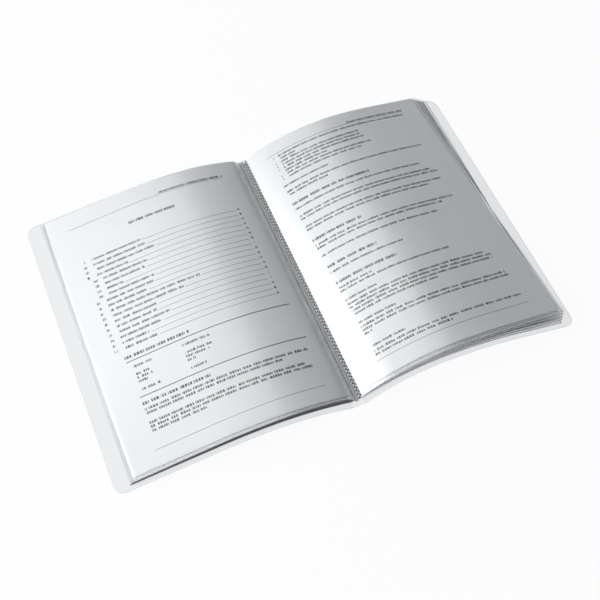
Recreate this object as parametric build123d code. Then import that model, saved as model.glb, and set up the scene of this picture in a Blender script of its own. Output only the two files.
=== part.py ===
from build123d import *

# Clear pocket display book for A4 sheets, lying open near its middle on a table.
# X runs across the open book, Y up the page and Z up from the table.
# The origin is the middle of the spine's underside. All sizes are in millimetres.

import math
import os
from dataclasses import dataclass

# The paper sheets.
SHEET_WIDTH = 210.0
SHEET_HEIGHT = 297.0
SHEET_THICKNESS = 0.1

# The film pockets, welded at the binding side, the fore edge and the bottom, and open at the top.
FILM_THICKNESS = 0.1
SHEET_CLEARANCE = 0.1  # between a sheet and each film beside it
SIDE_PLAY = 0.75  # between a sheet and each closed side of its pocket
BOTTOM_PLAY = 0.5  # between a sheet and the weld it stands on
TOP_LIP = 1.0  # film above the top edge of a sheet
SEAL_WIDTH = 6.0  # welded binding margin, from the root to the pocket's inside
STEP_WIDTH = 0.5  # the end of that margin, where the films are already apart
FOLD_WIDTH = 2.0  # closed fore edge
SEAM_HEIGHT = 4.0  # welded bottom
POCKET_RISE = 4.5  # from the bottom edge of the cover to the bottom edge of a pocket

# The knurled weld on the binding margin of the two top leaves.
KNURL_START = 0.8  # from the root to the first row of studs
KNURL_ROWS = 2
KNURL_PITCH = 2.0  # from row to row, and half the way from stud to stud along a row
KNURL_STUD = 1.7  # side of a stud
KNURL_HEIGHT = 0.12

# The cover: two panels and a spine panel of one polypropylene sheet, scored at two living hinges.
COVER_HEIGHT = 310.0
COVER_WIDTH = 230.0  # one panel laid flat, from its hinge line to its fore edge
COVER_THICKNESS = 0.5
COVER_CORNER_RADIUS = 10.0
SPINE_WIDTH = 13.0  # between the two hinge lines
HINGE_GAP = 0.05  # between a panel's round hinge nose and the spine panel

# The gutter weld, a round bead on which every leaf turns.
WELD_RADIUS = 1.9
WELD_FOOT_WIDTH = 2.4
ROOT_CLEARANCE = 0.1  # between the bead and the round root of a leaf

# How each half arches up from the table.
LEAVES = 5  # in each half
LEFT_COVER_REACH = 88.0  # from the spine's middle to the panel's highest line
LEFT_COVER_CREST = 16.3  # height of the panel's middle there
LEFT_TOP_REACH = 82.0  # the same for the top leaf
LEFT_CREST_AIR = 0.78  # between two leaves at their highest lines
LEFT_EDGE_AIR = 0.12  # between two leaves at the fore edge
LEFT_FALL_RADIUS = 350.0
LEFT_SHOULDER_LIFT = 15.0  # degrees that the top leaf starts steeper than a plain arc
LEFT_ROOT_HIGH = 42.0  # degrees above the table of the top leaf's root on the bead
RIGHT_COVER_REACH = 87.0
RIGHT_COVER_CREST = 25.6
RIGHT_TOP_REACH = 103.0
RIGHT_CREST_AIR = 2.6
RIGHT_EDGE_AIR = 5.1
RIGHT_FALL_RADIUS = 330.0
RIGHT_SHOULDER_LIFT = 6.0
RIGHT_ROOT_HIGH = 42.0
ROOT_LOW = 0.0  # degrees above the table of the lowest leaf's root
ROOT_RUN = 7.0  # straight stretch of a steep root before its shoulder
SHOULDER_RADIUS = 18.0
SEAT_AIR = 0.4  # between a cover panel and the lowest leaf on it

# Sizes that follow from those above.
LEAF_THICKNESS = 2 * FILM_THICKNESS + SHEET_THICKNESS + 2 * SHEET_CLEARANCE
SHEET_START = SEAL_WIDTH + SIDE_PLAY
LEAF_LENGTH = SHEET_START + SHEET_WIDTH + SIDE_PLAY + FOLD_WIDTH
POCKET_BOTTOM = POCKET_RISE - COVER_HEIGHT / 2
POCKET_HEIGHT = SEAM_HEIGHT + BOTTOM_PLAY + SHEET_HEIGHT + TOP_LIP
POCKET_TOP = POCKET_BOTTOM + POCKET_HEIGHT
SHEET_BOTTOM = POCKET_BOTTOM + SEAM_HEIGHT + BOTTOM_PLAY
HINGE_X = SPINE_WIDTH / 2
HINGE_HEIGHT = COVER_THICKNESS / 2
AXIS_HEIGHT = COVER_THICKNESS + WELD_RADIUS
ROOT_RADIUS = WELD_RADIUS + ROOT_CLEARANCE


def solve(function, low, high):
    """The value between low and high where a rising function is zero, by halving."""
    for _ in range(60):
        middle = (low + high) / 2
        if function(middle) < 0:
            low = middle
        else:
            high = middle
    return (low + high) / 2


@dataclass(frozen=True)
class Arch:
    """A line across the book: a start, a heading and runs of (length, radius).

    A radius of 0 is a straight run, and an arc bends downwards. Side is 1 for
    the right half and -1 for the left half, which is traced outwards alike.
    """

    side: int
    x: float
    z: float
    heading: float
    runs: tuple

    def place(self, distance):
        """Distance across, height and heading at a distance along the line."""
        x, z, heading = self.x, self.z, self.heading
        for length, radius in self.runs:
            step = min(length, distance)
            if radius:
                turned = heading - step / radius
                x += radius * (math.sin(heading) - math.sin(turned))
                z += radius * (math.cos(turned) - math.cos(heading))
                heading = turned
            else:
                x += step * math.cos(heading)
                z += step * math.sin(heading)
            distance -= step
            if distance <= 0:
                break
        return x, z, heading

    def at(self, distance, offset=0.0):
        """The (x, z) point at a distance along the line, offset to its upper side."""
        x, z, heading = self.place(distance)
        return self.side * (x - offset * math.sin(heading)), z + offset * math.cos(heading)

    def edges(self, begin, end, offset, y):
        """Arcs and lines along the offset line from begin to end, in the plane of that y."""

        def point(distance):
            x, z = self.at(distance, offset)
            return (x, y, z)

        made, start = [], 0.0
        for length, radius in self.runs:
            low, high = max(begin, start), min(end, start + length)
            if high - low > 1e-6:
                if radius:
                    made.append(ThreePointArc(point(low), point((low + high) / 2), point(high)))
                else:
                    made.append(Line(point(low), point(high)))
            start += length
        return made

    def height_over(self, x):
        """Height of the line at a place across the book."""
        total = sum(length for length, _ in self.runs)
        return self.at(solve(lambda s: self.side * (self.at(s)[0] - x), 0.0, total))[1]


def arch(side, start, crest, length, end_height, lift, fall_radius):
    """An arch from start over crest, of a given length, whose end is at a given height.

    It rises on one arc or, where it starts steeper by lift degrees, on a straight
    root, a shoulder and an arc. It falls on an arc and a straight tail.
    """
    across, up = crest[0] - start[0], crest[1] - start[1]
    plain = 2 * math.atan2(up, across)
    heading = plain + math.radians(lift)
    root_run = ROOT_RUN if lift else 0.0
    shoulder_radius = SHOULDER_RADIUS if lift else 0.0

    def rise_radius(after):
        shoulder = shoulder_radius * (math.sin(heading) - math.sin(after))
        return (across - root_run * math.cos(heading) - shoulder) / math.sin(after)

    def excess(after):
        shoulder = shoulder_radius * (math.cos(after) - math.cos(heading))
        arc = rise_radius(after) * (1 - math.cos(after))
        return root_run * math.sin(heading) + shoulder + arc - up

    after = solve(excess, plain / 20, plain) if lift else plain
    shoulder_run = shoulder_radius * (heading - after)
    rise_run = rise_radius(after) * after
    rest = length - root_run - shoulder_run - rise_run
    drop = crest[1] - end_height

    def fallen(turn):
        return fall_radius * (1 - math.cos(turn)) + (rest - fall_radius * turn) * math.sin(turn) - drop

    fall_run = fall_radius * solve(fallen, 0.0, rest / fall_radius)
    runs = (
        (root_run, 0.0),
        (shoulder_run, shoulder_radius),
        (rise_run, rise_radius(after)),
        (fall_run, fall_radius),
        (rest - fall_run, 0.0),
    )
    return Arch(side, start[0], start[1], heading, runs)


@dataclass(frozen=True)
class Half:
    """One half of the open book: its cover arch and the arches of its leaves."""

    name: str
    side: int
    cover_reach: float
    cover_crest: float
    top_reach: float
    crest_air: float
    edge_air: float
    fall_radius: float
    shoulder_lift: float
    root_high: float

    def cover(self):
        """The middle line of the cover panel, from its hinge to its fore edge on the table."""
        crest = (self.cover_reach, self.cover_crest)
        start = (HINGE_X, HINGE_HEIGHT)
        return arch(self.side, start, crest, COVER_WIDTH, HINGE_HEIGHT, 0.0, self.fall_radius)

    def leaf(self, rank):
        """The middle line of a leaf from its root to its fore edge, with rank 1 the top leaf."""
        above = LEAVES - rank
        share = above / (LEAVES - 1)
        angle = math.radians(ROOT_LOW + share * (self.root_high - ROOT_LOW))
        start = (ROOT_RADIUS * math.cos(angle), AXIS_HEIGHT + ROOT_RADIUS * math.sin(angle))
        seat = (COVER_THICKNESS + LEAF_THICKNESS) / 2 + SEAT_AIR
        crest = (
            self.cover_reach + share * (self.top_reach - self.cover_reach),
            self.cover_crest + seat + above * (LEAF_THICKNESS + self.crest_air),
        )
        cover = self.cover()
        line, edge_x = None, self.side * LEAF_LENGTH
        for _ in range(4):
            edge = cover.height_over(edge_x) + seat + above * (LEAF_THICKNESS + self.edge_air)
            line = arch(
                self.side, start, crest, LEAF_LENGTH, edge, share * self.shoulder_lift, self.fall_radius
            )
            edge_x = line.at(LEAF_LENGTH)[0]
        return line


LEFT = Half(
    "left", -1, LEFT_COVER_REACH, LEFT_COVER_CREST, LEFT_TOP_REACH, LEFT_CREST_AIR, LEFT_EDGE_AIR,
    LEFT_FALL_RADIUS, LEFT_SHOULDER_LIFT, LEFT_ROOT_HIGH,
)
RIGHT = Half(
    "right", 1, RIGHT_COVER_REACH, RIGHT_COVER_CREST, RIGHT_TOP_REACH, RIGHT_CREST_AIR, RIGHT_EDGE_AIR,
    RIGHT_FALL_RADIUS, RIGHT_SHOULDER_LIFT, RIGHT_ROOT_HIGH,
)


def sheet(line, begin, end, half_thickness, front, back):
    """A curved sheet along a stretch of an arch, from y front to y back."""
    upper = line.edges(begin, end, half_thickness, front)
    lower = line.edges(begin, end, -half_thickness, front)
    ends = [Line(upper[0] @ 0, lower[0] @ 0), Line(upper[-1] @ 1, lower[-1] @ 1)]
    return extrude(make_face(upper + lower + ends), back - front, dir=(0, 1, 0))


def rod(x, z, radius, front, back):
    """A round rod along Y."""
    middle = (front + back) / 2
    return Pos(x, middle, z) * Rot(90, 0, 0) * Cylinder(radius, back - front)


def cover_panel(half):
    """A cover panel with rounded fore edge corners and a round nose at its living hinge."""
    line = half.cover()
    front, back = -COVER_HEIGHT / 2, COVER_HEIGHT / 2
    panel = sheet(line, 0.0, COVER_WIDTH, COVER_THICKNESS / 2, front, back)
    edge_x = line.at(COVER_WIDTH)[0]
    corners = [
        edge
        for edge in panel.edges()
        if edge.length < 2 * COVER_THICKNESS and abs(edge.center().X - edge_x) < COVER_THICKNESS
    ]
    panel = fillet(corners, COVER_CORNER_RADIUS)
    return panel + rod(*line.at(0.0), COVER_THICKNESS / 2, front, back)


def spine_panel():
    """The flat panel between the two living hinges."""
    width = SPINE_WIDTH - COVER_THICKNESS - 2 * HINGE_GAP
    return Pos(0, 0, COVER_THICKNESS / 2) * Box(width, COVER_HEIGHT, COVER_THICKNESS)


def binding_weld():
    """The fused bead under the roots of all the leaves, with a flat foot on the spine panel."""
    bead = rod(0.0, AXIS_HEIGHT, WELD_RADIUS, POCKET_BOTTOM, POCKET_TOP)
    middle = (POCKET_BOTTOM + POCKET_TOP) / 2
    foot_place = Pos(0, middle, COVER_THICKNESS + WELD_RADIUS / 2)
    return bead + foot_place * Box(WELD_FOOT_WIDTH, POCKET_HEIGHT, WELD_RADIUS)


def knurl(line):
    """The staggered studs pressed into the upper film of a binding margin."""
    studs = []
    count = int(POCKET_HEIGHT / (2 * KNURL_PITCH))
    depth = FILM_THICKNESS + KNURL_HEIGHT
    for row in range(KNURL_ROWS):
        x, z, heading = line.place(KNURL_START + (row + 0.5) * KNURL_PITCH)
        tilt = Rot(0, -line.side * math.degrees(heading), 0)
        for number in range(count):
            y = POCKET_BOTTOM + (2 * number + 0.5 + row % 2) * KNURL_PITCH
            stud = Box(KNURL_STUD, KNURL_STUD, depth, align=(Align.CENTER, Align.CENTER, Align.MIN))
            studs.append(Pos(line.side * x, y, z) * tilt * stud)
    return studs


def pocket(line, knurled):
    """A film pocket: a thin welded margin with a round root, and an envelope open at the top."""
    margin = sheet(line, 0.0, SEAL_WIDTH, FILM_THICKNESS, POCKET_BOTTOM, POCKET_TOP)
    body_start = SEAL_WIDTH - STEP_WIDTH
    body = sheet(line, body_start, LEAF_LENGTH, LEAF_THICKNESS / 2, POCKET_BOTTOM, POCKET_TOP)
    inside = sheet(
        line, SEAL_WIDTH, LEAF_LENGTH - FOLD_WIDTH, LEAF_THICKNESS / 2 - FILM_THICKNESS,
        POCKET_BOTTOM + SEAM_HEIGHT, POCKET_TOP + TOP_LIP,
    )
    root = rod(0.0, AXIS_HEIGHT, ROOT_RADIUS, POCKET_BOTTOM, POCKET_TOP)
    sleeve = margin + body - inside - root
    return sleeve + knurl(line) if knurled else sleeve


def insert(line):
    """A paper sheet standing in its pocket."""
    end = SHEET_START + SHEET_WIDTH
    return sheet(line, SHEET_START, end, SHEET_THICKNESS / 2, SHEET_BOTTOM, SHEET_BOTTOM + SHEET_HEIGHT)


def write(node, shape):
    """Write one node's solid to its STEP file."""
    solids = shape.solids()
    export_step(solids[0] if len(solids) == 1 else Compound(solids), f"parts/{node}.step")


def main():
    """Build every piece of the book and write it."""
    os.makedirs("parts", exist_ok=True)
    write("front_cover", cover_panel(LEFT))
    write("back_cover", cover_panel(RIGHT))
    write("spine_panel", spine_panel())
    write("binding_weld", binding_weld())
    for half in (LEFT, RIGHT):
        for rank in range(1, LEAVES + 1):
            line = half.leaf(rank)
            write(f"{half.name}_pocket_{rank}", pocket(line, rank == 1))
            write(f"{half.name}_insert_{rank}", insert(line))


if __name__ == "__main__":
    main()
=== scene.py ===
import logging
import math
from collections.abc import Callable
from dataclasses import dataclass, replace
from enum import Enum

import bmesh
import bpy
from bmesh.types import BMesh, BMVert
from bpy.types import Material, Node, NodeSocket, NodeTree, Object
from mathutils import Matrix, Vector, noise


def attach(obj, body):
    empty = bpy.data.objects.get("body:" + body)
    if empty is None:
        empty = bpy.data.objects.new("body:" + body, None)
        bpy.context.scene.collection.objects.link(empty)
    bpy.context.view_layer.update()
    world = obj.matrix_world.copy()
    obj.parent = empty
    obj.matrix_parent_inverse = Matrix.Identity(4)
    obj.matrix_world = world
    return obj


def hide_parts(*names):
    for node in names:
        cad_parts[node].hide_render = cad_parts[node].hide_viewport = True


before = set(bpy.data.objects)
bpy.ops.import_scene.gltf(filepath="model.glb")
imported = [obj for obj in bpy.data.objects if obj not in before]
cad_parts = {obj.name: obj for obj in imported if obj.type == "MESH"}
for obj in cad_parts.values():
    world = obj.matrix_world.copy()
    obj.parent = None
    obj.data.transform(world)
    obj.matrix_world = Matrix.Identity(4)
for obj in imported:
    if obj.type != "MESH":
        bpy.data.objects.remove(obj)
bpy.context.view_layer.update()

# The look of a clear pocket display book for A4 sheets, lying open near its middle on a table.
# X runs across the open book, Y up the page and Z up from the table. Sizes are in millimetres
# until a mesh is finished, and MM then turns them into metres.

LOG = logging.getLogger("display_book")
MM = 0.001
SMOOTH_ANGLE = 35.0
Pair = tuple[float, float]
Triple = tuple[float, float, float]

# The paper sheets.
SHEET_WIDTH = 210.0
SHEET_HEIGHT = 297.0
SHEET_THICKNESS = 0.1

# The film pockets.
FILM_THICKNESS = 0.1
LEAF_THICKNESS = 0.5
SEAL_WIDTH = 6.0
STEP_WIDTH = 0.5
OPEN_WIDTH = 1.5  # over which the films part beside a weld
CLOSE_WIDTH = 1.0  # over which they meet before the fold
SIDE_PLAY = 0.75
FOLD_WIDTH = 2.0
SEAM_HEIGHT = 4.0
SHEET_START = SEAL_WIDTH + SIDE_PLAY
LEAF_LENGTH = SHEET_START + SHEET_WIDTH + SIDE_PLAY + FOLD_WIDTH
POCKET_BOTTOM = -150.5
POCKET_TOP = 152.0
POCKET_HEIGHT = POCKET_TOP - POCKET_BOTTOM
SHEET_BOTTOM = -146.0

# The cover, the spine and the gutter weld.
COVER_HEIGHT = 310.0
COVER_WIDTH = 230.0
COVER_THICKNESS = 0.5
COVER_CORNER_RADIUS = 10.0
SPINE_WIDTH = 13.0
HINGE_GAP = 0.05
WELD_RADIUS = 1.9
WELD_FOOT_WIDTH = 2.4
ROOT_CLEARANCE = 0.1
HINGE_X = SPINE_WIDTH / 2
HINGE_HEIGHT = COVER_THICKNESS / 2
AXIS_HEIGHT = COVER_THICKNESS + WELD_RADIUS
ROOT_RADIUS = WELD_RADIUS + ROOT_CLEARANCE

# How the leaves leave the gutter.
LEAVES = 5
ROOT_RUN = 7.0
SHOULDER_RADIUS = 18.0
SEAT_AIR = 0.4

# How uneven the leaves lie, and how far the right ones are drawn in at the head of the page.
RIPPLE_HEIGHT = 0.55
RIPPLE_RISE = (15.0, 120.0)
RIPPLE_LENGTH = 85.0
RIPPLE_WIDTH = 70.0
RIPPLE_SEED = 3.7
RIPPLE_CALM = 0.12  # less of it from leaf to leaf downwards
HEAD_DRAW_IN = 0.07

# How a value is searched: by so many halvings, for a rise so many times flatter than a plain
# arc at most, and for a fore edge in so many passes.
HALVINGS = 60
FLATTER = 20
EDGE_PASSES = 4

# Light on plastic.
PLASTIC_IOR = 1.49
GRAZING_POWER = 5.0

# The kinds of node that come up most.
MATH = "ShaderNodeMath"
MIX_SHADER = "ShaderNodeMixShader"
PRINCIPLED = "ShaderNodeBsdfPrincipled"
OUTPUT = "ShaderNodeOutputMaterial"


def solve(function: Callable[[float], float], low: float, high: float) -> float:
    """Find where a rising function is zero, by halving.

    Args:
        function: A rising function of one number.
        low: A value where it is below zero.
        high: A value where it is above zero.

    Returns:
        The value between low and high where it is zero.
    """
    for _ in range(HALVINGS):
        middle = (low + high) / 2
        if function(middle) < 0:
            low = middle
        else:
            high = middle
    return (low + high) / 2


def ease(value: float, low: float, high: float) -> float:
    """Rise smoothly from 0 at low to 1 at high.

    Args:
        value: Where to read the step.
        low: Where it starts to rise.
        high: Where it has risen.

    Returns:
        A number from 0 to 1.
    """
    share = min(max((value - low) / (high - low), 0.0), 1.0)
    return share * share * (3 - 2 * share)


@dataclass(frozen=True)
class Arch:
    """A line across the book: a start, a heading and runs of (length, radius).

    A radius of 0 is a straight run, and an arc bends downwards. Side is 1 for the right half
    and -1 for the left half, which is traced outwards alike.
    """

    side: int
    x: float
    z: float
    heading: float
    runs: tuple[Pair, ...]

    def place(self, distance: float) -> Triple:
        """Follow the line.

        Args:
            distance: How far along the line.

        Returns:
            The distance across, the height and the heading there.
        """
        x, z, heading = self.x, self.z, self.heading
        for length, radius in self.runs:
            step = min(length, distance)
            if radius:
                turned = heading - step / radius
                x += radius * (math.sin(heading) - math.sin(turned))
                z += radius * (math.cos(turned) - math.cos(heading))
                heading = turned
            else:
                x += step * math.cos(heading)
                z += step * math.sin(heading)
            distance -= step
            if distance <= 0:
                break
        return x, z, heading

    def at(self, distance: float, offset: float = 0.0) -> Pair:
        """Give a point beside the line.

        Args:
            distance: How far along the line.
            offset: How far off it, to its upper side.

        Returns:
            The point's x and z.
        """
        x, z, heading = self.place(distance)
        return self.side * (x - offset * math.sin(heading)), z + offset * math.cos(heading)

    def height_over(self, x: float) -> float:
        """Give the height of the line at a place across the book."""
        total = sum(length for length, _ in self.runs)
        return self.at(solve(lambda s: self.side * (self.at(s)[0] - x), 0.0, total))[1]


@dataclass(frozen=True)
class Half:
    """One half of the open book: how its cover and its leaves arch up from the table."""

    name: str
    side: int
    cover_reach: float  # across, where the cover and the top leaf are highest
    top_reach: float
    cover_crest: float
    crest_air: float  # between two leaves, at the crest and at the fore edge
    edge_air: float
    fall_radius: float
    shoulder_lift: float  # degrees by which the top leaf starts steeper
    root_high: float  # degrees round the gutter weld to the top leaf's root
    edge_lift: float = 0.0  # air under the lowest leaf's fore edge

    def arch(
        self, start: Pair, crest: Pair, length: float, end_height: float, lift: float
    ) -> Arch:
        """Trace an arch from start over crest.

        Args:
            start: Where it starts, across and up.
            crest: Its highest point, across and up.
            length: Its whole length.
            end_height: The height of its end.
            lift: Degrees that it starts steeper than a plain arc, on a root and a shoulder.

        Returns:
            The arch, which falls on an arc and a straight tail.
        """
        across, up = crest[0] - start[0], crest[1] - start[1]
        plain = 2 * math.atan2(up, across)
        heading = plain + math.radians(lift)
        root_run = ROOT_RUN if lift else 0.0
        shoulder_radius = SHOULDER_RADIUS if lift else 0.0

        def rise_radius(after: float) -> float:
            """Give the radius of the rise that starts at a heading."""
            shoulder = shoulder_radius * (math.sin(heading) - math.sin(after))
            return (across - root_run * math.cos(heading) - shoulder) / math.sin(after)

        def excess(after: float) -> float:
            """Give how far a rise from a heading passes the crest.

            Args:
                after: The heading.

            Returns:
                The height above the crest.
            """
            shoulder = shoulder_radius * (math.cos(after) - math.cos(heading))
            rise = rise_radius(after) * (1 - math.cos(after))
            return root_run * math.sin(heading) + shoulder + rise - up

        after = solve(excess, plain / FLATTER, plain) if lift else plain
        shoulder_run = shoulder_radius * (heading - after)
        rise_run = rise_radius(after) * after
        rest = length - root_run - shoulder_run - rise_run
        drop = crest[1] - end_height
        radius = self.fall_radius

        def fallen(turn: float) -> float:
            """Give how far a fall by that angle and its tail pass the end height."""
            tail = (rest - radius * turn) * math.sin(turn)
            return radius * (1 - math.cos(turn)) + tail - drop

        fall_run = radius * solve(fallen, 0.0, rest / radius)
        runs = (
            (root_run, 0.0),
            (shoulder_run, shoulder_radius),
            (rise_run, rise_radius(after)),
            (fall_run, radius),
            (rest - fall_run, 0.0),
        )
        return Arch(self.side, start[0], start[1], heading, runs)

    def cover(self) -> Arch:
        """Trace the middle of the cover panel, from its hinge to its fore edge on the table."""
        crest = (self.cover_reach, self.cover_crest)
        return self.arch((HINGE_X, HINGE_HEIGHT), crest, COVER_WIDTH, HINGE_HEIGHT, 0.0)

    def leaf(self, rank: int) -> Arch:
        """Trace the middle of a leaf.

        Args:
            rank: 1 for the top leaf, up to LEAVES for the lowest.

        Returns:
            Its arch, from its root on the gutter weld to its fore edge.
        """
        above = LEAVES - rank
        share = above / (LEAVES - 1)
        angle = math.radians(share * self.root_high)
        start = (ROOT_RADIUS * math.cos(angle), AXIS_HEIGHT + ROOT_RADIUS * math.sin(angle))
        seat = (COVER_THICKNESS + LEAF_THICKNESS) / 2 + SEAT_AIR
        crest = (
            self.cover_reach + share * (self.top_reach - self.cover_reach),
            self.cover_crest + seat + above * (LEAF_THICKNESS + self.crest_air),
        )
        cover = self.cover()
        edge_x = self.side * LEAF_LENGTH
        line = cover
        for _ in range(EDGE_PASSES):
            edge = cover.height_over(edge_x) + seat + self.edge_lift
            edge += above * (LEAF_THICKNESS + self.edge_air)
            line = self.arch(start, crest, LEAF_LENGTH, edge, share * self.shoulder_lift)
            edge_x = line.at(LEAF_LENGTH)[0]
        return line

    def ripple(self, distance: float, y: float, rank: int) -> float:
        """Give the slight unevenness that the leaves of a half share.

        Args:
            distance: How far along the leaf.
            y: How far up the page.
            rank: The leaf's rank, because the lower leaves lie flatter.

        Returns:
            An offset to the leaf's upper side.
        """
        reach = ease(distance, *RIPPLE_RISE) * (1.0 - RIPPLE_CALM * (rank - 1))
        place = (distance / RIPPLE_LENGTH, y / RIPPLE_WIDTH, RIPPLE_SEED * self.side)
        return RIPPLE_HEIGHT * reach * noise.noise(Vector(place))


LEFT = Half(
    name="left", side=-1, cover_reach=88.0, top_reach=82.0, cover_crest=16.3, crest_air=0.78,
    edge_air=0.12, fall_radius=350.0, shoulder_lift=15.0, root_high=42.0,
)
RIGHT = Half(
    name="right", side=1, cover_reach=87.0, top_reach=103.0, cover_crest=25.6, crest_air=2.6,
    edge_air=5.1, fall_radius=330.0, shoulder_lift=6.0, root_high=42.0,
)
RIGHT_HEAD = replace(RIGHT, top_reach=105.0, crest_air=1.1, edge_air=2.4, edge_lift=4.2)


@dataclass(frozen=True)
class LeafShape:
    """How one leaf lies: its arch at the foot of the page and, where it differs, at the head."""

    half: Half
    rank: int
    foot: Arch
    head: Arch
    draw_in: float

    @classmethod
    def of(cls, half: Half, rank: int) -> "LeafShape":
        """Trace a leaf, of which the right ones lie lower and further in at the head of the page.

        Args:
            half: The leaf's half of the book.
            rank: The leaf's rank.

        Returns:
            The shape.
        """
        share = (LEAVES - rank) / (LEAVES - 1)
        foot = half.leaf(rank)
        if half.side < 0:
            return cls(half, rank, foot, foot, 0.0)
        return cls(half, rank, foot, RIGHT_HEAD.leaf(rank), HEAD_DRAW_IN * share)

    def bend(self, mesh: BMesh) -> None:
        """Bend a flat mesh along the leaf.

        Args:
            mesh: The mesh, with its distance along in x, its height in y and its offset in z.
        """
        for vert in mesh.verts:
            along, y = vert.co.x, vert.co.y
            offset = vert.co.z + self.half.ripple(along, y, self.rank)
            low = Vector(self.foot.at(along, offset))
            high = Vector(self.head.at(along, offset))
            high.x *= 1.0 - self.draw_in
            place = low.lerp(high, (y - POCKET_BOTTOM) / POCKET_HEIGHT)
            vert.co = Vector((place.x, y, place.y))


def linear(colour: str) -> tuple[float, float, float, float]:
    """Turn an sRGB hex colour into linear red, green, blue and alpha.

    Args:
        colour: Six hex digits.

    Returns:
        Four linear numbers, the last of them 1.
    """
    parts = []
    for place in (0, 2, 4):
        value = int(colour[place : place + 2], 16) / 255
        parts.append(value / 12.92 if value <= 0.04045 else ((value + 0.055) / 1.055) ** 2.4)
    return (parts[0], parts[1], parts[2], 1.0)


def add_node(tree: NodeTree, kind: str, *inputs: object, **settings: object) -> Node:
    """Add a node with its settings and links.

    Args:
        tree: The node tree.
        kind: The node's type.
        inputs: What its inputs get, in their order, or one dict of that by name or number. A
            socket is linked, and a node stands for its first output.
        settings: The node's own properties.

    Returns:
        The node.
    """
    node = tree.nodes.new(kind)
    for name, value in settings.items():
        setattr(node, name, value)
    named = inputs[0] if inputs and isinstance(inputs[0], dict) else dict(enumerate(inputs))
    for key, value in named.items():
        source = value.outputs[0] if isinstance(value, Node) else value
        if isinstance(source, NodeSocket):
            tree.links.new(source, node.inputs[key])
        else:
            node.inputs[key].default_value = source
    return node


def new_material(name: str) -> tuple[Material, NodeTree]:
    """Start a material with an empty node tree.

    Args:
        name: The material's name.

    Returns:
        The material and its tree.
    """
    material = bpy.data.materials.new(name)
    material.use_nodes = True
    material.node_tree.nodes.clear()
    return material, material.node_tree


def head_on_share(tree: NodeTree, head_on: float) -> Node:
    """Give how much a clear plastic surface mirrors, alike from its front and its back.

    Args:
        tree: The node tree.
        head_on: What it mirrors of a ray that meets it head on.

    Returns:
        The share, which rises towards a grazing ray.
    """
    facing = add_node(tree, "ShaderNodeLayerWeight", 0.5).outputs["Facing"]
    steep = add_node(tree, MATH, facing, GRAZING_POWER, operation="POWER")
    return add_node(tree, MATH, steep, 1.0 - head_on, head_on, operation="MULTIPLY_ADD")


@dataclass(frozen=True)
class FrostedPolypropylene:
    """Extruded polypropylene with a fine matt face: milky, soft to see through, faintly cool."""

    name: str = "frosted_polypropylene_sheet"
    colour: str = "DDE0E0"
    let_through: str = "F8F9FA"
    body: float = 0.09
    roughness: float = 0.42
    grain: float = 0.9  # millimetres, coarser than the real sand face so that it shows
    grain_detail: float = 2.0
    grain_depth: float = 0.05
    grain_strength: float = 0.12

    def make(self) -> Material:
        """Make the material.

        Returns:
            The material.
        """
        material, tree = new_material(self.name)
        place = add_node(tree, "ShaderNodeTexCoord").outputs["Object"]
        grains = {"Vector": place, "Scale": 1 / (self.grain * MM), "Detail": self.grain_detail}
        sand = add_node(tree, "ShaderNodeTexNoise", grains).outputs["Fac"]
        depth = self.grain_depth * MM
        relief = {"Height": sand, "Strength": self.grain_strength, "Distance": depth}
        bump = add_node(tree, "ShaderNodeBump", relief)
        matt = {
            "Base Color": linear(self.colour),
            "Roughness": self.roughness,
            "IOR": PLASTIC_IOR,
            "Normal": bump,
        }
        sheet = add_node(tree, PRINCIPLED, matt)
        through = add_node(tree, "ShaderNodeBsdfTransparent", linear(self.let_through))
        mixed = add_node(tree, MIX_SHADER, self.body, through, sheet)
        add_node(tree, OUTPUT, mixed)
        return material


@dataclass(frozen=True)
class ClearFilm:
    """Cast clear polypropylene film: nearly unseen head on, with bright glossy streaks."""

    name: str = "clear_polypropylene_film"
    let_through: str = "FEFEFE"
    milk: str = "EFF1F3"
    milk_roughness: float = 0.4
    haze: float = 0.012
    head_on: float = 0.034
    roughness: float = 0.26
    seam_haze: float = 0.08  # more of it where the two films are fused at the foot
    dot_haze: float = 0.22  # and in the dots of that weld
    dot_pitch: float = 2.6
    dot_size: float = 1.0
    dot_height: float = 2.0

    def make(self) -> Material:
        """Make the material.

        Returns:
            The material, which reads the place along and up the leaf from its UV map.
        """
        material, tree = new_material(self.name)
        place = add_node(tree, "ShaderNodeUVMap", uv_map="leaf")
        along, up, _ = add_node(tree, "ShaderNodeSeparateXYZ", place).outputs
        pitches = LEAF_LENGTH / self.dot_pitch
        counted = add_node(tree, MATH, along, pitches, operation="MULTIPLY")
        cell = add_node(tree, MATH, counted, operation="FRACT")
        wide = self.dot_size / self.dot_pitch / 2
        dash = add_node(tree, MATH, cell, 0.5, wide, operation="COMPARE")
        level, tall = self.dot_height / POCKET_HEIGHT, self.dot_size / 2 / POCKET_HEIGHT
        row = add_node(tree, MATH, up, level, tall, operation="COMPARE")
        dots = add_node(tree, MATH, dash, row, operation="MULTIPLY")
        haze = add_node(tree, MATH, dots, self.dot_haze, self.haze, operation="MULTIPLY_ADD")
        seam = add_node(tree, MATH, up, SEAM_HEIGHT / POCKET_HEIGHT, operation="LESS_THAN")
        milky = add_node(tree, MATH, seam, self.seam_haze, haze, operation="MULTIPLY_ADD")
        through = add_node(tree, "ShaderNodeBsdfTransparent", linear(self.let_through))
        white = {
            "Base Color": linear(self.milk),
            "Roughness": self.milk_roughness,
            "IOR": PLASTIC_IOR,
        }
        milk = add_node(tree, PRINCIPLED, white)
        film = add_node(tree, MIX_SHADER, milky, through, milk)
        gloss = add_node(tree, "ShaderNodeBsdfAnisotropic", linear("FFFFFF"), self.roughness)
        surface = add_node(tree, MIX_SHADER, head_on_share(tree, self.head_on), film, gloss)
        add_node(tree, OUTPUT, surface)
        return material


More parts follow.
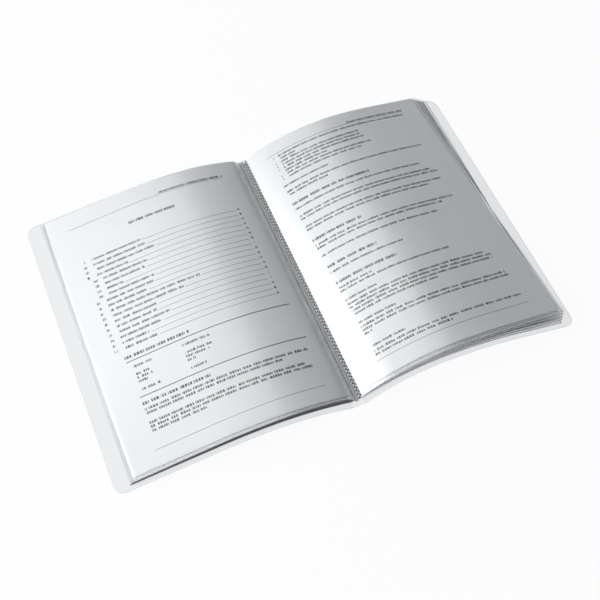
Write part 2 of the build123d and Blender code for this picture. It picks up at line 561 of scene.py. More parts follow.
class Melt(Enum):
    """How polypropylene looks where heat has pressed it: colour, roughness and body. The dark stud
    and the dark foot edge are painted shade.
    """

    # Painted shade: the knurl's studs are coloured dark slate for the deep pits between the
    # knurls, which throw no light back.
    KNURLED_STUD = ("11171A", 0.5, 1.0)
    # Films fused flat into a margin: grey, satin and still mostly clear.
    FUSED_MARGIN = ("C9CED0", 0.4, 0.06)
    # The bead along a cut and sealed edge: waxy and milky.
    SEALED_EDGE = ("DDE1E6", 0.3, 0.7)
    # The sealed edge bead again, darkened with painted shade for where the leaves press on each
    # other and little light comes between them.
    PRESSED_EDGE = ("5E6366", 0.3, 0.85)
    # The cut edge of the cover sheet, where one looks along the plastic and it looks denser.
    CUT_EDGE = ("A2A7A9", 0.4, 0.9)
    # The thick bead in the gutter: waxy, milky and nearly solid.
    GUTTER_BEAD = ("C9CFD3", 0.35, 0.85)


@dataclass(frozen=True)
class FusedPolypropylene:
    """Polypropylene film that was melted and pressed, from a satin margin to a stud darkened with
    painted shade.
    """

    melt: Melt

    def make(self) -> Material:
        """Make the material.

        Returns:
            The material.
        """
        colour, roughness, body = self.melt.value
        material, tree = new_material(f"fused_polypropylene_{self.melt.name.lower()}")
        wax = {
            "Base Color": linear(colour),
            "Roughness": roughness,
            "IOR": PLASTIC_IOR,
            "Alpha": body,
        }
        pressed = add_node(tree, PRINCIPLED, wax)
        add_node(tree, OUTPUT, pressed)
        return material


@dataclass(frozen=True)
class PrintRow:
    """A row of greeked print: its baseline's drop from the page's top, and its spans across."""

    drop: float
    spans: tuple[Pair, ...]


@dataclass(frozen=True)
class Rule:
    """A printed line: its drop from the top of the page, its limits and its weight."""

    drop: float
    left: float
    right: float
    weight: float


@dataclass(frozen=True)
class PageLayout:
    """What is printed on a page, all of it plain bars and lines, in millimetres."""

    seed: float
    word: float  # mean lengths, with the gaps
    letter: float
    low: float  # half the least height of a letter
    uneven: float  # what is added to it at most
    body: tuple[PrintRow, ...]
    headings: tuple[PrintRow, ...]
    rules: tuple[Rule, ...]


# The rows and lines of the printed pages.
ROW_PITCH = 4.15
THIN_LINE = 0.4
THICK_LINE = 0.95

# The list of contents: where its names end across the page, and which rows are indented.
LIST_ENDS = (84, 86, 94, 64, 82, 78, 53, 83, 80, 72, 124, 105, 76, 73, 84, 74, 59, 66)
LIST_INDENTED = (4, 5, 6, 7)
LIST_INDENT = 4.5
LIST_TOP = 65.0
LIST_PITCH = 6.35
LIST_NUMBER = (21.5, 24.5)
LIST_NUMBER_GROWTH = 1.3  # an indented number is longer
LIST_NAME = 31.5
LIST_PAGE = (187.0, 189.4)
LEADER_GAP = 2.0
LEADER_WEIGHT = 0.38

# The rows of the notes that have a bullet, and how far its middle is above the baseline.
BULLET_ROWS = (0, 2, 3, 4, 6, 7)
BULLET_SPAN = (26.4, 27.7)
BULLET_SIZE = 1.3
BULLET_RISE = 1.0
NOTES_TOP = 20.8


def paragraph(drop: float, left: float, *ends: float) -> tuple[PrintRow, ...]:
    """Set rows of print under each other.

    Args:
        drop: The first baseline's drop from the top of the page.
        left: Where the rows start.
        ends: Where each row ends.

    Returns:
        The rows.
    """
    return tuple(PrintRow(drop + ROW_PITCH * n, ((left, end),)) for n, end in enumerate(ends))


def list_entry(number: int, end: float) -> PrintRow:
    """Set a row of a list of contents.

    Args:
        number: Which row it is, from 0.
        end: Where its name ends.

    Returns:
        The row: a number, a name and a page number.
    """
    indent = LIST_INDENT if number in LIST_INDENTED else 0.0
    left, right = LIST_NUMBER
    numeral = (left + indent, right + LIST_NUMBER_GROWTH * indent)
    spans = (numeral, (LIST_NAME + indent, end), LIST_PAGE)
    return PrintRow(LIST_TOP + LIST_PITCH * number, spans)


def leader(number: int, end: float) -> Rule:
    """Draw the thin line that leads from a name in a list of contents to its page number."""
    drop = LIST_TOP + LIST_PITCH * number
    return Rule(drop, end + LEADER_GAP, LIST_PAGE[0] - LEADER_GAP, LEADER_WEIGHT)


def bullet(row: int) -> Rule:
    """Draw a bullet before a row of the notes."""
    return Rule(NOTES_TOP - BULLET_RISE + ROW_PITCH * row, *BULLET_SPAN, BULLET_SIZE)


class Page(Enum):
    """The kinds of printed page in the book."""

    CONTENTS = PageLayout(
        seed=3.0, word=11.0, letter=2.3, low=1.05, uneven=0.4,
        body=(
            *paragraph(19.0, 118.0, 187.0),
            *(list_entry(number, end) for number, end in enumerate(LIST_ENDS)),
            PrintRow(195.2, ((33.0, 51.0), (82.0, 110.0))),
            PrintRow(203.6, ((33.0, 46.0), (82.0, 109.0))),
            PrintRow(207.8, ((33.0, 48.0), (82.0, 105.0))),
            PrintRow(212.0, ((33.0, 43.0), (82.0, 90.0))),
            PrintRow(220.8, ((33.0, 51.5), (82.0, 98.0))),
            *paragraph(241.2, 29.0, 191.0, 166.0),
            *paragraph(255.4, 29.0, 182.0, 188.0, 82.0),
        ),
        headings=(
            *paragraph(41.4, 79.0, 128.0),
            *paragraph(183.8, 28.0, 93.0),
            *paragraph(235.3, 29.0, 96.0),
        ),
        rules=(
            Rule(20.0, 20.0, 187.0, THIN_LINE),
            *(leader(number, end) for number, end in enumerate(LIST_ENDS)),
            Rule(187.2, 28.0, 194.0, THICK_LINE),
            Rule(226.6, 29.0, 195.0, THICK_LINE),
            Rule(281.2, 25.0, 192.0, THIN_LINE),
        ),
    )
    NOTES = PageLayout(
        seed=11.0, word=11.5, letter=2.5, low=0.85, uneven=0.5,
        body=(
            *paragraph(14.8, 119.0, 189.0),
            *paragraph(NOTES_TOP, 33.0, 187.0, 52.0, 127.0, 127.0, 129.0, 83.0, 134.0, 121.0),
            *paragraph(58.6, 23.0, 77.0),
            *paragraph(66.4, 23.0, 185.0, 72.0),
            *paragraph(90.0, 23.0, 171.0),
            *paragraph(99.8, 23.5, 177.0, 184.0),
            *paragraph(114.4, 24.0, 182.0, 165.0),
            *paragraph(139.2, 24.5, 182.0, 168.0),
            *paragraph(153.2, 25.0, 156.0),
            *paragraph(174.6, 25.0, 106.0),
            *paragraph(194.2, 25.5, 62.0, 145.0),
            *paragraph(209.2, 26.0, 61.0),
            *paragraph(214.4, 26.0, 174.0, 181.0, 180.0, 117.0),
            *paragraph(237.2, 27.0, 67.0),
            *paragraph(242.2, 27.0, 183.0, 185.0, 36.0),
            *paragraph(265.2, 27.5, 65.0),
            *paragraph(270.6, 27.5, 184.0, 108.0),
        ),
        headings=(
            *paragraph(83.4, 23.0, 113.0),
            *paragraph(132.8, 24.0, 80.0),
            *paragraph(167.8, 25.0, 80.0),
            *paragraph(188.2, 25.5, 93.0),
        ),
        rules=(
            Rule(15.6, 20.0, 189.0, THIN_LINE),
            Rule(280.0, 24.0, 187.0, THIN_LINE),
            *(bullet(row) for row in BULLET_ROWS),
        ),
    )
    TEXT = PageLayout(
        seed=29.0, word=10.5, letter=2.0, low=0.85, uneven=0.4,
        body=(
            *paragraph(14.8, 119.0, 189.0),
            *paragraph(34.0, 24.0, 186.0, 182.0, 187.0, 180.0, 184.0, 96.0),
            *paragraph(76.0, 24.0, 184.0, 187.0, 181.0, 186.0, 140.0),
            *paragraph(110.0, 24.0, 185.0, 180.0, 187.0, 183.0, 186.0, 178.0, 64.0),
            *paragraph(160.0, 24.0, 186.0, 182.0, 187.0, 112.0),
            *paragraph(194.0, 24.0, 183.0, 186.0, 180.0, 187.0, 184.0, 120.0),
            *paragraph(236.0, 24.0, 185.0, 181.0, 187.0, 178.0, 88.0),
        ),
        headings=(
            *paragraph(27.0, 24.0, 90.0),
            *paragraph(69.0, 24.0, 84.0),
            *paragraph(153.0, 24.0, 98.0),
        ),
        rules=(Rule(15.6, 20.0, 189.0, THIN_LINE), Rule(280.0, 24.0, 187.0, THIN_LINE)),
    )


@dataclass(frozen=True)
class PageMasks:
    """The masks that lay print on a page, which is measured across and down in millimetres."""

    tree: NodeTree
    across: Node
    down: Node
    row_middle: float = 1.3  # above the baseline
    row_reach: float = 2.0  # from there, up and down
    row_shift: float = 17.31  # cells from row to row, so that no two rows look alike
    randomness: float = 0.8

    def row_numbers(self, rows: tuple[PrintRow, ...]) -> Node:
        """Number the rows of a page.

        Args:
            rows: The rows.

        Returns:
            A row's number on the row, and 0 between two.
        """
        total = 0.0
        for number, row in enumerate(rows, 1):
            band = (self.down, row.drop - self.row_middle, self.row_reach)
            near = add_node(self.tree, MATH, *band, operation="COMPARE")
            total = add_node(self.tree, MATH, near, number, total, operation="MULTIPLY_ADD")
        return total

    def cells(self, seed: float, number: Node, size: float) -> Node:
        """Count cells across the rows, starting elsewhere in each row.

        Args:
            seed: Where the pattern starts.
            number: The number of the row.
            size: Mean length of a cell in millimetres.

        Returns:
            The place across, in cells.
        """
        shift = self.row_shift
        start = add_node(self.tree, MATH, number, shift, seed, operation="MULTIPLY_ADD")
        return add_node(self.tree, MATH, self.across, 1 / size, start, operation="MULTIPLY_ADD")

    def bars(self, where: Node, gap: float) -> Node:
        """Split the rows into bars of uneven length.

        Args:
            where: The place across, in cells.
            gap: Half the gap between two bars, as a share of a cell.

        Returns:
            1 on a bar and 0 between two.
        """
        edge = add_node(
            self.tree, "ShaderNodeTexVoronoi",
            {"W": where, "Scale": 1.0, "Randomness": self.randomness},
            voronoi_dimensions="1D", feature="DISTANCE_TO_EDGE",
        ).outputs["Distance"]
        return add_node(self.tree, MATH, edge, gap, operation="GREATER_THAN")

    def half_heights(self, where: Node, low: float, uneven: float) -> Node:
        """Give each bar a height of its own.

        Args:
            where: The place across, in cells.
            low: Half the least height in millimetres.
            uneven: What is added to it at most.

        Returns:
            Half a bar's height.
        """
        chance = add_node(
            self.tree, "ShaderNodeTexVoronoi",
            {"W": where, "Scale": 1.0, "Randomness": self.randomness},
            voronoi_dimensions="1D", feature="F1",
        ).outputs["Color"]
        return add_node(self.tree, MATH, chance, uneven, low, operation="MULTIPLY_ADD")

    def rows(self, rows: tuple[PrintRow, ...], half: Node) -> Node:
        """Mask the rows of a page, which stand on their baselines.

        Args:
            rows: The rows.
            half: Half the height of the bars.

        Returns:
            1 on a row.
        """
        lowered = add_node(self.tree, MATH, self.down, half, operation="ADD")
        masks = []
        for row in rows:
            level = add_node(self.tree, MATH, lowered, row.drop, half, operation="COMPARE")
            inside = self.combine([self.span(self.across, *span) for span in row.spans], "MAXIMUM")
            masks.append(self.combine([level, inside], "MULTIPLY"))
        return self.combine(masks, "MAXIMUM")

    def lines(self, rules: tuple[Rule, ...]) -> Node:
        """Mask the printed lines of a page.

        Args:
            rules: The lines.

        Returns:
            1 on a line.
        """
        masks = []
        for rule in rules:
            half = rule.weight / 2
            level = self.span(self.down, rule.drop - half, rule.drop + half)
            inside = self.span(self.across, rule.left, rule.right)
            masks.append(self.combine([level, inside], "MULTIPLY"))
        return self.combine(masks, "MAXIMUM")

    def span(self, place: Node, low: float, high: float) -> Node:
        """Give 1 where a place lies between low and high."""
        limits = (place, (low + high) / 2, (high - low) / 2)
        return add_node(self.tree, MATH, *limits, operation="COMPARE")

    def combine(self, masks: list[Node], operation: str) -> Node:
        """Combine masks into one.

        Args:
            masks: The masks.
            operation: MULTIPLY for 1 where all masks are 1, MAXIMUM for 1 where one of them is.

        Returns:
            The mask.
        """
        result = masks[0]
        for mask in masks[1:]:
            result = add_node(self.tree, MATH, result, mask, operation=operation)
        return result


@dataclass(frozen=True)
class PrintedPaper:
    """Uncoated white office paper with toner print: bright, matt, with thin dark rows of bars."""

    page: Page
    colour: str = "EDF1F3"
    ink: str = "202328"
    heading_ink: str = "10182F"
    roughness: float = 0.75
    ior: float = 1.5
    sheen: float = 0.3
    word_gap: float = 0.08  # half the gaps, as shares of a mean length
    letter_gap: float = 0.15
    letter_seed: float = 5.0
    capital: float = 2.8  # mean length of a heading's letter, with its gap
    capital_gap: float = 0.14
    capital_seed: float = 9.0
    capital_low: float = 1.4
    capital_uneven: float = 0.2

    def make(self) -> Material:
        """Make the material.

        Returns:
            The material, which reads the page from its UV map.
        """
        layout = self.page.value
        material, tree = new_material(f"printed_office_paper_{self.page.name.lower()}")
        place = add_node(tree, "ShaderNodeUVMap", uv_map="page")
        u, v, _ = add_node(tree, "ShaderNodeSeparateXYZ", place).outputs
        across = add_node(tree, MATH, u, SHEET_WIDTH, operation="MULTIPLY")
        down = add_node(tree, MATH, v, -SHEET_HEIGHT, SHEET_HEIGHT, operation="MULTIPLY_ADD")
        masks = PageMasks(tree, across, down)
        number = masks.row_numbers(layout.body + layout.headings)
        words = masks.bars(masks.cells(layout.seed, number, layout.word), self.word_gap)
        letters = masks.cells(layout.seed + self.letter_seed, number, layout.letter)
        body = masks.rows(layout.body, masks.half_heights(letters, layout.low, layout.uneven))
        inked = masks.combine([masks.bars(letters, self.letter_gap), words, body], "MULTIPLY")
        capitals = masks.cells(layout.seed + self.capital_seed, number, self.capital)
        tall = masks.half_heights(capitals, self.capital_low, self.capital_uneven)
        titles = masks.rows(layout.headings, tall)
        headed = masks.combine([masks.bars(capitals, self.capital_gap), words, titles], "MULTIPLY")
        marks = masks.combine([inked, masks.lines(layout.rules)], "MAXIMUM")
        colour = linear(self.colour)
        for mask, ink in ((marks, self.ink), (headed, self.heading_ink)):
            inks = {"Factor": mask, 6: colour, 7: linear(ink)}
            colour = add_node(tree, "ShaderNodeMix", inks, data_type="RGBA").outputs[2]
        sheet = {
            "Base Color": colour,
            "Roughness": self.roughness,
            "IOR": self.ior,
            "Specular IOR Level": self.sheen,
        }
        paper = add_node(tree, PRINCIPLED, sheet)
        add_node(tree, OUTPUT, paper)
        return material


def flat_sheet(
    begin: float, end: float, bottom: float, top: float, columns: int, rows: int, uv_name: str
) -> BMesh:
    """Lay out a flat sheet as a grid, with its distance along in x and its height in y.

    Args:
        begin: Where it begins along the line it will follow.
        end: Where it ends.
        bottom: Its lower edge.
        top: Its upper edge.
        columns: Faces along it.
        rows: Faces up it.
        uv_name: The name of its UV map, which runs from 0 to 1 each way.

    Returns:
        The mesh.
    """
    mesh = bmesh.new()
    mesh.loops.layers.uv.new(uv_name)
    bmesh.ops.create_grid(mesh, x_segments=columns, y_segments=rows, size=0.5, calc_uvs=True)
    bmesh.ops.scale(mesh, vec=(end - begin, top - bottom, 1.0), verts=mesh.verts)
    middle = ((begin + end) / 2, (bottom + top) / 2, 0.0)
    bmesh.ops.translate(mesh, vec=middle, verts=mesh.verts)
    return mesh


def cut_across(mesh: BMesh, places: tuple[float, ...], axis: int) -> None:
    """Cut a flat mesh along lines, so that it can bend there.

    Args:
        mesh: The mesh.
        places: Where to cut.
        axis: 0 to cut at places along the sheet, 1 at heights.
    """
    normal = Vector((0.0, 0.0, 0.0))
    normal[axis] = 1.0
    for place in places:
        everything = [*mesh.verts, *mesh.edges, *mesh.faces]
        bmesh.ops.bisect_plane(mesh, geom=everything, plane_co=normal * place, plane_no=normal)


def thicken(mesh: BMesh, thickness: float) -> None:
    """Give a flat mesh a thickness.

    Args:
        mesh: The mesh.
        thickness: The thickness, half of it to each side.
    """
    bmesh.ops.translate(mesh, vec=(0.0, 0.0, -thickness / 2), verts=mesh.verts)
    made = bmesh.ops.extrude_face_region(mesh, geom=mesh.faces[:], use_keep_orig=True)
    raised = [item for item in made["geom"] if isinstance(item, BMVert)]
    bmesh.ops.translate(mesh, vec=(0.0, 0.0, thickness), verts=raised)
    bmesh.ops.recalc_face_normals(mesh, faces=mesh.faces)


def join(mesh: BMesh, other: BMesh) -> None:
    """Add a mesh to a mesh.

    Args:
        mesh: The mesh that grows.
        other: The other one, which is used up.
    """
    spare = bpy.data.meshes.new("spare")
    other.to_mesh(spare)
    other.free()
    mesh.from_mesh(spare)
    bpy.data.meshes.remove(spare)


def finish_piece(mesh: BMesh, name: str, materials: tuple[Material, ...]) -> Object:
    """Turn a finished mesh in millimetres into a smooth object in metres.

    Args:
        mesh: The mesh, which is used up.
        name: The object's name.
        materials: Its materials.

    Returns:
        The object.
    """
    bmesh.ops.scale(mesh, vec=(MM, MM, MM), verts=mesh.verts)
    bmesh.ops.recalc_face_normals(mesh, faces=mesh.faces)
    data = bpy.data.meshes.new(name)
    mesh.to_mesh(data)
    mesh.free()
    for material in materials:
        data.materials.append(material)
    data.shade_smooth()
    data.set_sharp_from_angle(angle=math.radians(SMOOTH_ANGLE))
    piece = bpy.data.objects.new(name, data)
    bpy.context.scene.collection.objects.link(piece)
    LOG.info("%s: %d faces", name, len(data.polygons))
    return piece


@dataclass
class CoverPanel:
    """One panel of the frosted cover, with rounded fore edge corners and a score by its hinge."""

    half: Half
    node: str
    columns: int = 92
    rows: int = 12
    corner_steps: int = 10
    score_place: float = 2.4
    score_width: float = 0.9
    score_depth: float = 0.12
    edge_round: float = 0.12
    edge_steps: int = 2
    rim_angle: float = 1.2  # radians between the faces at a rim
    flat_face: float = 0.8  # how far a face points up or down if it isn't a cut edge

    def build(self, sheet: Material, cut: Material) -> None:
        """Build the panel and dress it.

        Args:
            sheet: The cover sheet's material.
            cut: The material of its cut edge.
        """
        top = COVER_HEIGHT / 2
        mesh = flat_sheet(-COVER_THICKNESS / 2, COVER_WIDTH, -top, top, 1, 1, "panel")
        corners = [v for v in mesh.verts if v.co.x > COVER_WIDTH / 2]
        bmesh.ops.bevel(
            mesh, geom=corners, offset=COVER_CORNER_RADIUS, affect="VERTICES",
            segments=self.corner_steps, profile=0.5, material=-1,
        )
        steps = [COVER_WIDTH * n / self.columns for n in range(1, self.columns)]
        score = [self.score_place + self.score_width * share for share in (-0.5, 0.0, 0.5)]
        cut_across(mesh, (*steps, *score), 0)
        heights = [COVER_HEIGHT * (n / self.rows - 0.5) for n in range(1, self.rows)]
        cut_across(mesh, tuple(heights), 1)
        thicken(mesh, COVER_THICKNESS)
        rims = [edge for edge in mesh.edges if edge.calc_face_angle(0.0) > self.rim_angle]
        bmesh.ops.bevel(
            mesh, geom=rims, offset=self.edge_round, affect="EDGES",
            segments=self.edge_steps, profile=0.5, material=-1,
        )
        mesh.normal_update()
        for face in mesh.faces:
            face.material_index = 1 if abs(face.normal.z) < self.flat_face else 0
        line = self.half.cover()
        for vert in mesh.verts:
            along, height = vert.co.x, vert.co.z
            if height > 0 and abs(along - self.score_place) < self.score_width / 4:
                height -= self.score_depth
            if along < 0:
                x, z = line.at(0.0, height)
                turned = line.place(0.0)[2]
                x += line.side * along * math.cos(turned)
                z += along * math.sin(turned)
            else:
                x, z = line.at(along, height)
            vert.co = Vector((x, vert.co.y, z))
        piece = finish_piece(mesh, f"{self.node}_panel", (sheet, cut))
        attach(piece, self.node)
        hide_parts(self.node)


@dataclass
class Binding:
    """The spine panel between the two hinges, and the fused bead that carries the leaves."""

    spine_rows: int = 8
    groove_inset: float = 1.3
    groove_depth: float = 0.12
    groove_half: float = 0.4
    bead_segments: int = 20
    ripple_pitch: float = 4.0
    ripple_depth: float = 0.05
    foot_short: float = 1.0

    def build_spine(self, material: Material) -> None:
        """Build the spine panel with a pressed groove along each side.

        Args:
            material: The cover sheet's material.
        """
        reach = (SPINE_WIDTH - COVER_THICKNESS) / 2 - HINGE_GAP
        top = COVER_HEIGHT / 2
        mesh = flat_sheet(-reach, reach, -top, top, 1, self.spine_rows, "panel")
        groove = reach - self.groove_inset
        half = self.groove_half
        for middle in (-groove, groove):
            cut_across(mesh, (middle - half, middle, middle + half), 0)
        thicken(mesh, COVER_THICKNESS)
        for vert in mesh.verts:
            if vert.co.z > 0 and abs(abs(vert.co.x) - groove) < half / 4:
                vert.co.z -= self.groove_depth
        bmesh.ops.translate(mesh, vec=(0.0, 0.0, COVER_THICKNESS / 2), verts=mesh.verts)
        piece = finish_piece(mesh, "spine_panel_sheet", (material,))
        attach(piece, "spine")
        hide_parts("spine_panel")

    def build_weld(self, material: Material) -> None:
        """Build the bead, with the ripples that the welding bar leaves, and its foot.

        Args:
            material: The fused plastic.
        """
        mesh = bmesh.new()
        middle = (POCKET_TOP + POCKET_BOTTOM) / 2
        lie = Matrix.Translation((0.0, middle, AXIS_HEIGHT)) @ Matrix.Rotation(math.pi / 2, 4, "X")
        bmesh.ops.create_cone(
            mesh, cap_ends=True, segments=self.bead_segments, radius1=WELD_RADIUS,
            radius2=WELD_RADIUS, depth=POCKET_HEIGHT, matrix=lie,
        )
        steps = int(POCKET_HEIGHT / (self.ripple_pitch / 4))
        places = [POCKET_BOTTOM + POCKET_HEIGHT * n / steps for n in range(1, steps)]
        cut_across(mesh, tuple(places), 1)
        for vert in mesh.verts:
            wave = 0.5 + 0.5 * math.cos(2 * math.pi * vert.co.y / self.ripple_pitch)
            shrink = 1.0 - self.ripple_depth * wave
            vert.co.x *= shrink
            vert.co.z = AXIS_HEIGHT + (vert.co.z - AXIS_HEIGHT) * shrink
        foot = Matrix.Translation((0.0, middle, COVER_THICKNESS + WELD_RADIUS / 3))
        sides = (WELD_FOOT_WIDTH, POCKET_HEIGHT - self.foot_short, WELD_RADIUS * 2 / 3, 1.0)
        bmesh.ops.create_cube(mesh, size=1.0, matrix=foot @ Matrix.Diagonal(sides))
        piece = finish_piece(mesh, "binding_weld_bead", (material,))
        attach(piece, "spine")
        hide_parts("binding_weld")


# The places of the fused materials in a pocket's list, after the film.
STUD, MARGIN, EDGE, FOOT = range(1, 5)


@dataclass
class Pocket:
    """A clear film pocket: two films fused along three sides and open at the top."""

    half: Half
    rank: int
    columns: int = 84
    rows: int = 44
    fused: float = 0.104  # from the middle of the leaf to a fused film's outer face
    bead: float = 0.6
    bead_overlap: float = 0.1
    knurl_start: float = 0.8
    knurl_rows: int = 2
    knurl_pitch: float = 2.0
    knurl_stud: float = 1.95
    knurl_taper: float = 0.9
    knurl_height: float = 0.14
    knurl_margin: float = 0.2
    bend_cut: float = 0.7  # where a film is also cut as it parts from the other

    def openness(self, along: float, y: float) -> float:
        """Give how far the two films stand apart.

        Args:
            along: How far along the leaf.
            y: How far up the page.

        Returns:
            From 0 where they are fused to 1.
        """
        root = ease(along, SEAL_WIDTH - STEP_WIDTH, SEAL_WIDTH + OPEN_WIDTH)
        fold = LEAF_LENGTH - FOLD_WIDTH
        edge = 1.0 - ease(along, fold - CLOSE_WIDTH, fold)
        top = POCKET_BOTTOM + SEAM_HEIGHT
        return root * edge * ease(y, top - STEP_WIDTH, top + OPEN_WIDTH)

    def film(self, above: bool) -> BMesh:
        """Lay out one film, flat, at its distance from the middle of the leaf.

        Args:
            above: True for the upper film.

        Returns:
            The mesh.
        """
        foot = POCKET_BOTTOM + self.bead - self.bead_overlap
        mesh = flat_sheet(0.0, LEAF_LENGTH, foot, POCKET_TOP, self.columns, self.rows, "leaf")
        margin = self.knurl_start + self.knurl_rows * self.knurl_pitch + self.knurl_margin
        root = [SEAL_WIDTH + step for step in (-STEP_WIDTH, 0.0, self.bend_cut, OPEN_WIDTH)]
        edge = [LEAF_LENGTH - FOLD_WIDTH - step for step in (CLOSE_WIDTH, CLOSE_WIDTH / 2, 0.0)]
        cut_across(mesh, (margin, *root, *edge, LEAF_LENGTH - self.bead), 0)
        seam = POCKET_BOTTOM + SEAM_HEIGHT
        cut_across(mesh, (seam - STEP_WIDTH, seam + STEP_WIDTH, seam + OPEN_WIDTH), 1)
        thicken(mesh, FILM_THICKNESS)
        for face in mesh.faces:
            if face.calc_center_median().x < margin:
                face.material_index = MARGIN
        way = 1.0 if above else -1.0
        spread = LEAF_THICKNESS / 2 - self.fused
        for vert in mesh.verts:
            outer = self.fused + spread * self.openness(vert.co.x, vert.co.y)
            vert.co.z += way * (outer - FILM_THICKNESS / 2)
        return mesh

    def studs(self, mesh: BMesh) -> None:
        """Add the staggered studs of the knurled weld.

        Args:
            mesh: The pocket, which gets them on the upper film of its margin.
        """
        known = set(mesh.faces)
        count = int(POCKET_HEIGHT / (2 * self.knurl_pitch))
        radius = self.knurl_stud * math.sqrt(0.5)
        height = self.fused + self.knurl_height / 2
        for row in range(self.knurl_rows):
            along = self.knurl_start + (row + 0.5) * self.knurl_pitch
            for number in range(count):
                y = POCKET_BOTTOM + (2 * number + 0.5 + row % 2) * self.knurl_pitch
                place = Matrix.Translation((along, y, height))
                bmesh.ops.create_cone(
                    mesh, cap_ends=True, segments=4, radius1=radius,
                    radius2=radius * self.knurl_taper, depth=self.knurl_height,
                    matrix=place @ Matrix.Rotation(math.pi / 4, 4, "Z"),
                )
        # On the right the studs take the dark knurl colour, which is painted shade; on the left
        # they stay plain margin.
        for face in mesh.faces:
            if face not in known:
                face.material_index = STUD if self.half.side > 0 else MARGIN

    def sealed_edges(self) -> BMesh:
        """Lay out the beads along the sealed foot and the folded fore edge.

        Returns:
            The mesh, flat.
        """
        foot = POCKET_BOTTOM + self.bead
        start = LEAF_LENGTH - self.bead
        root = SEAL_WIDTH / 2
        mesh = flat_sheet(root, LEAF_LENGTH, POCKET_BOTTOM, foot, self.columns, 1, "leaf")
        join(mesh, flat_sheet(start, LEAF_LENGTH, foot, POCKET_TOP, 1, self.rows, "leaf"))
        thicken(mesh, LEAF_THICKNESS)
        for face in mesh.faces:
            face.material_index = FOOT if face.calc_center_median().y < foot else EDGE
        return mesh

    def build(self, film: Material, melts: dict[Melt, Material]) -> None:
        """Build the pocket and dress it.

        Args:
            film: The clear film.
            melts: The materials of its fused places.
        """
        mesh = self.film(True)
        join(mesh, self.film(False))
        join(mesh, self.sealed_edges())
        if self.rank == 1:
            self.studs(mesh)
        LeafShape.of(self.half, self.rank).bend(mesh)
        node = f"{self.half.name}_pocket_{self.rank}"
        # The left stack's foot bead takes the darker copy of the sealed edge, which is painted
        # shade.
        foot = Melt.SEALED_EDGE if self.half.side > 0 else Melt.PRESSED_EDGE
        kinds = (Melt.KNURLED_STUD, Melt.FUSED_MARGIN, Melt.SEALED_EDGE, foot)
        piece = finish_piece(mesh, f"{node}_film", (film, *(melts[kind] for kind in kinds)))
        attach(piece, f"{self.half.name}_leaf_{self.rank}")
        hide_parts(node)


@dataclass
class Insert:
    """A printed paper sheet standing in its pocket."""

    half: Half
    rank: int
    columns: int = 84
    rows: int = 44

    def build(self, front: Material, back: Material) -> None:
        """Build the sheet and dress it.

        Args:
            front: The paper with the upper page's print.
            back: The paper with the lower page's print.
        """
        end = SHEET_START + SHEET_WIDTH
        top = SHEET_BOTTOM + SHEET_HEIGHT
        mesh = flat_sheet(SHEET_START, end, SHEET_BOTTOM, top, self.columns, self.rows, "page")
        thicken(mesh, SHEET_THICKNESS)
        page = mesh.loops.layers.uv["page"]
        mesh.normal_update()
        for face in mesh.faces:
            under = face.normal.z < -0.5
            face.material_index = 1 if under else 0
            if under == (self.half.side > 0):
                for loop in face.loops:
                    loop[page].uv.x = 1.0 - loop[page].uv.x
        LeafShape.of(self.half, self.rank).bend(mesh)
        node = f"{self.half.name}_insert_{self.rank}"
        piece = finish_piece(mesh, f"{node}_sheet", (front, back))
        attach(piece, f"{self.half.name}_sheet_{self.rank}")
        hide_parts(node)


@dataclass(frozen=True)
class SoftLamp:
    """A soft lamp that faces the book, or a white card that only shows in the film's gloss."""

    name: str
    place: Triple  # metres
    size: Pair
    power: float  # watts
    mirrored_only: bool = False

    def hang(self) -> None:
        """Hang the lamp in the scene."""
        data = bpy.data.lights.new(self.name, "AREA")
        data.shape = "RECTANGLE"
        data.size, data.size_y = self.size
        data.energy = self.power
        lamp = bpy.data.objects.new(self.name, data)
        lamp.location = self.place
        lamp.visible_diffuse = not self.mirrored_only
        lamp.rotation_euler = (-Vector(self.place)).to_track_quat("-Z", "Y").to_euler()
        bpy.context.scene.collection.objects.link(lamp)


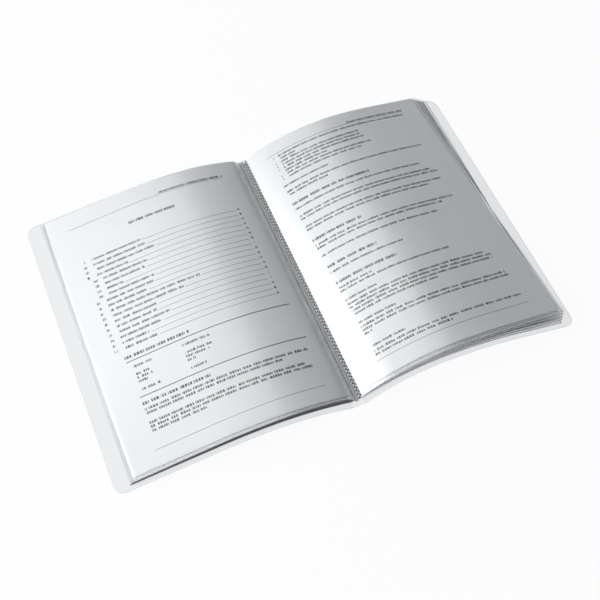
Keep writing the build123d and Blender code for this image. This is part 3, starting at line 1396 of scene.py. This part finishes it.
@dataclass
class Studio:
    """The white table, the soft lamps and the camera."""

    floor_size: float = 8.0
    floor_colour: str = "F4F4F4"
    floor_roughness: float = 0.9
    floor_sheen: float = 0.1
    floor_glow: float = 0.95
    room_colour: str = "F2F4F6"
    room_strength: float = 0.05
    mirrored_white: float = 0.42  # how white the room is in the film's reflections
    lamps: tuple[SoftLamp, ...] = (
        SoftLamp("key_softbox", (-1.16, 0.36, 0.8), (1.2, 1.2), 27.2),
        SoftLamp("side_fill", (1.0, 0.3, 0.16), (0.8, 0.3), 3.2),
        SoftLamp("front_fill", (0.25, -1.1, 0.12), (0.8, 0.3), 6.0),
        SoftLamp("haze_card", (-0.15, 1.0, 1.92), (1.3, 1.0), 11.0, mirrored_only=True),
    )
    lens: float = 65.16
    sensor_width: float = 36.0
    camera_clip: Pair = (0.05, 50.0)
    camera_place: Triple = (-0.2197, -0.5447, 0.9045)
    camera_right: Triple = (0.9245, -0.3811, 0.0)
    camera_up: Triple = (0.3242, 0.7865, 0.5257)
    camera_back: Triple = (-0.2003, -0.4861, 0.8507)
    film_bounces: int = 96  # a ray passes many clear faces in the stack of leaves
    light_bounces: int = 10

    def build_floor(self) -> None:
        """Lay the white floor, which keeps the book's shadow."""
        mesh = bmesh.new()
        bmesh.ops.create_grid(mesh, x_segments=1, y_segments=1, size=self.floor_size / 2)
        data = bpy.data.meshes.new("floor")
        mesh.to_mesh(data)
        mesh.free()
        material, tree = new_material("matt_white_studio_paper")
        paper = {
            "Base Color": linear(self.floor_colour),
            "Roughness": self.floor_roughness,
            "Specular IOR Level": self.floor_sheen,
        }
        matt = add_node(tree, PRINCIPLED, paper)
        glow = add_node(tree, "ShaderNodeEmission", linear("FFFFFF"), 1.0)
        seen = self.seen_rays(tree)
        share = add_node(tree, MATH, seen, self.floor_glow, operation="MULTIPLY")
        mixed = add_node(tree, MIX_SHADER, share, matt, glow)
        add_node(tree, OUTPUT, mixed)
        data.materials.append(material)
        floor = bpy.data.objects.new("floor", data)
        bpy.context.scene.collection.objects.link(floor)

    def seen_rays(self, tree: NodeTree) -> Node:
        """Tell the rays that show the background.

        Args:
            tree: The node tree.

        Returns:
            1 for a ray that is seen, mirrored or passed through.
        """
        rays = add_node(tree, "ShaderNodeLightPath").outputs
        seen = rays["Is Camera Ray"]
        for kind in ("Is Glossy Ray", "Is Transmission Ray"):
            seen = add_node(tree, MATH, seen, rays[kind], operation="MAXIMUM")
        return seen

    def build_world(self) -> None:
        """Set the even light of the room, white behind the floor."""
        world = bpy.data.worlds.new("studio")
        world.use_nodes = True
        tree = world.node_tree
        tree.nodes.clear()
        rays = add_node(tree, "ShaderNodeLightPath").outputs
        shown = (rays["Is Glossy Ray"], self.mirrored_white, rays["Is Camera Ray"])
        share = add_node(tree, MATH, *shown, operation="MULTIPLY_ADD")
        even = (linear(self.room_colour), self.room_strength)
        room = add_node(tree, "ShaderNodeBackground", *even)
        white = add_node(tree, "ShaderNodeBackground", linear("FFFFFF"), 1.0)
        mixed = add_node(tree, MIX_SHADER, share, room, white)
        add_node(tree, "ShaderNodeOutputWorld", mixed)
        bpy.context.scene.world = world

    def build_camera(self) -> None:
        """Set the camera at the photograph's viewing angle."""
        data = bpy.data.cameras.new("camera")
        data.lens = self.lens
        data.sensor_width = self.sensor_width
        data.clip_start, data.clip_end = self.camera_clip
        axes = Matrix((self.camera_right, self.camera_up, self.camera_back)).transposed()
        camera = bpy.data.objects.new("camera", data)
        camera.matrix_world = Matrix.Translation(self.camera_place) @ axes.to_4x4()
        bpy.context.scene.collection.objects.link(camera)
        bpy.context.scene.camera = camera

    def build(self) -> None:
        """Build the floor, the lamps and the camera."""
        self.build_floor()
        self.build_world()
        for lamp in self.lamps:
            lamp.hang()
        self.build_camera()
        scene = bpy.context.scene
        scene.view_settings.view_transform = "Standard"
        scene.cycles.transparent_max_bounces = self.film_bounces
        scene.cycles.max_bounces = self.light_bounces


def main() -> None:
    """Build the book piece by piece, and the studio round it."""
    logging.basicConfig(level=logging.INFO, format="%(name)s: %(message)s")
    cover = FrostedPolypropylene().make()
    film = ClearFilm().make()
    melts = {melt: FusedPolypropylene(melt).make() for melt in Melt}
    pages = {page: PrintedPaper(page).make() for page in Page}
    CoverPanel(LEFT, "front_cover").build(cover, melts[Melt.CUT_EDGE])
    CoverPanel(RIGHT, "back_cover").build(cover, melts[Melt.CUT_EDGE])
    binding = Binding()
    binding.build_spine(cover)
    binding.build_weld(melts[Melt.GUTTER_BEAD])
    top_pages = {LEFT: Page.CONTENTS, RIGHT: Page.NOTES}
    for half in (LEFT, RIGHT):
        for rank in range(1, LEAVES + 1):
            Pocket(half, rank).build(film, melts)
            front = top_pages[half] if rank == 1 else Page.TEXT
            Insert(half, rank).build(pages[front], pages[Page.TEXT])
    Studio().build()


if __name__ == "__main__":
    main()
